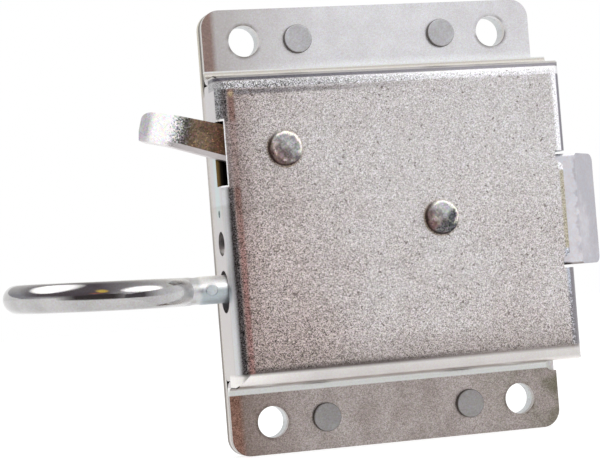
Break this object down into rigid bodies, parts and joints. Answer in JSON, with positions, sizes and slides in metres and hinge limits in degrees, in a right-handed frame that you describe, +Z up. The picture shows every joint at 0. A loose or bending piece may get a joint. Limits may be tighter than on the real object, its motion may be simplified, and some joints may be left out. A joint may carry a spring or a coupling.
{
  "type": "lever door lock",
  "caption": "Flat riveted door lock with a bevelled spring bolt, a pull ring on a rod and a curled lever; flanges with screw holes on a back plate.",
  "frame": {"origin": "centre of the back plate's mounting face", "axes": "+Y out of the mounting face into the door, +X along the bolt towards the strike, +Z up"},
  "size_m": [0.1431, 0.042, 0.1016],
  "materials": {
    "plated_sheet": "zinc plated, fine grained",
    "plated_rivets": "zinc plated, smooth",
    "lever_steel": "zinc plated, worn",
    "bolt_metal": "plated casting, matte",
    "ring_steel": "polished plating",
    "inner_steel": "plain turned steel",
    "spring_steel": "oiled spring wire"
  },
  "bodies": {
    "frame": {"back_plate": "plated_sheet", "cover": "plated_sheet", "flange_rivets": "plated_rivets", "lever_pivot_rivet": "plated_rivets", "lever_spacer": "inner_steel", "guide_rivet": "plated_rivets", "guide_bush": "inner_steel", "spring_seat": "inner_steel", "bolt_spring": "spring_steel"},
    "bolt_unit": {"bolt": "bolt_metal"},
    "ring_unit": {"pull_ring": "ring_steel", "rod_washer": "inner_steel"},
    "lever_unit": {"lever": "lever_steel", "cam_pin": "inner_steel"}
  },
  "joints": [
    {"name": "bolt_slide", "type": "slide", "parent": "frame", "child": "bolt_unit", "axis": [-1, 0, 0], "range_m": [0, 0.01], "stiffness_N_per_m": 600, "springref_m": -0.01, "deforming": ["bolt_spring"]},
    {"name": "ring_swivel", "type": "hinge", "parent": "bolt_unit", "child": "ring_unit", "pos_m": [-0.011, -0.008, -0.0126], "axis": [1, 0, 0], "continuous": true},
    {"name": "lever_pivot", "type": "hinge", "parent": "frame", "child": "lever_unit", "pos_m": [-0.02505, -0.0106, 0.0178], "axis": [0, -1, 0], "range_deg": [0, 23]}
  ],
  "couplings": [
    {"joint": "lever_pivot", "follows": "bolt_slide", "rad_per_m": 40.142}
  ]
}
